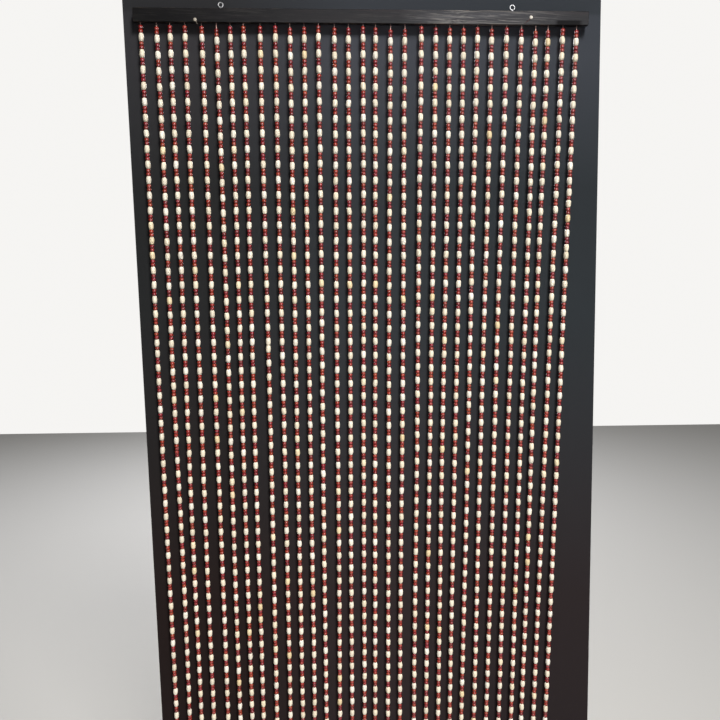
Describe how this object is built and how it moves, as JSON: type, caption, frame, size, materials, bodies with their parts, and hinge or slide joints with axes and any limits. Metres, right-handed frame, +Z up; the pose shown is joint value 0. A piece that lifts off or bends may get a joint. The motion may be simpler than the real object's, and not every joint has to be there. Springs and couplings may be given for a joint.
{
  "type": "bead door curtain with batten",
  "caption": "Door curtain of hanging bead strings, cream ovals between pairs of red rounds, on a black wooden batten with screw eyes.",
  "frame": {"origin": "middle of the batten's flat back face, where it lies against the wall", "axes": "+X along the batten to the viewer's right, +Y into the wall, +Z up; the viewer stands at -Y"},
  "size_m": [0.904, 0.0138, 1.8497],
  "materials": {
    "black_paint": "black paint on planed wood, rubbed and scuffed",
    "cream_beads": "glossy cream, from ivory to light yellow",
    "red_beads": "glossy red, from orange red to dark crimson",
    "thread": "pale twisted thread",
    "steel": "dull plated steel"
  },
  "bodies": {
    "root": {"batten": "black_paint", "screw_eye_left": "steel", "screw_eye_right": "steel", "nail_left": "steel", "nail_right": "steel", "strings": "cream_beads"}
  },
  "joints": []
}
